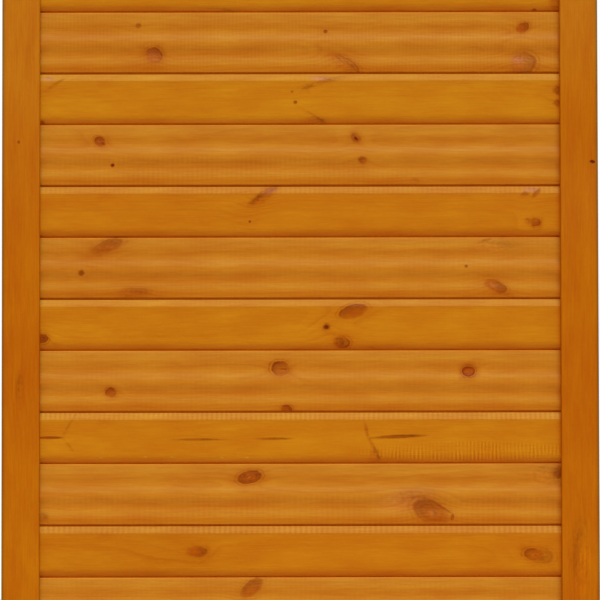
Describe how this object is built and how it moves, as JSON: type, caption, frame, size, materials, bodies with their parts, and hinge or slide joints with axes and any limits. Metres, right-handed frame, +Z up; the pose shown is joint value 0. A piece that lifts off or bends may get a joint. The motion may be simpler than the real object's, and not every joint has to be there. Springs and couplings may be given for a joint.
{
  "type": "wooden fence panel",
  "caption": "Framed wooden fence panel: waved and flat tongue-and-groove boards laid across in turn, their ends held in grooved stiles between a top and a bottom rail.",
  "frame": {"origin": "middle of the bottom edge, half way through the panel's depth", "axes": "+Z up along the stiles, +X to the right seen from the front, -Y towards the viewer of the waved side"},
  "size_m": [0.9, 0.042, 1.8],
  "materials": {
    "frame_wood": "honey-brown stained planed softwood, satin",
    "board_wood": "honey-brown stained planed softwood with knots, satin",
    "screw_steel": "zinc plated"
  },
  "bodies": {
    "root": {"left_stile": "frame_wood", "right_stile": "frame_wood", "bottom_rail": "frame_wood", "top_rail": "frame_wood", "wave_board_01": "board_wood", "wave_board_02": "board_wood", "wave_board_03": "board_wood", "wave_board_04": "board_wood", "wave_board_05": "board_wood", "wave_board_06": "board_wood", "wave_board_07": "board_wood", "wave_board_08": "board_wood", "wave_board_09": "board_wood", "wave_board_10": "board_wood", "flat_board_01": "board_wood", "flat_board_02": "board_wood", "flat_board_03": "board_wood", "flat_board_04": "board_wood", "flat_board_05": "board_wood", "flat_board_06": "board_wood", "flat_board_07": "board_wood", "flat_board_08": "board_wood", "flat_board_09": "board_wood", "flat_board_10": "board_wood", "corner_screws": "screw_steel"}
  },
  "joints": []
}
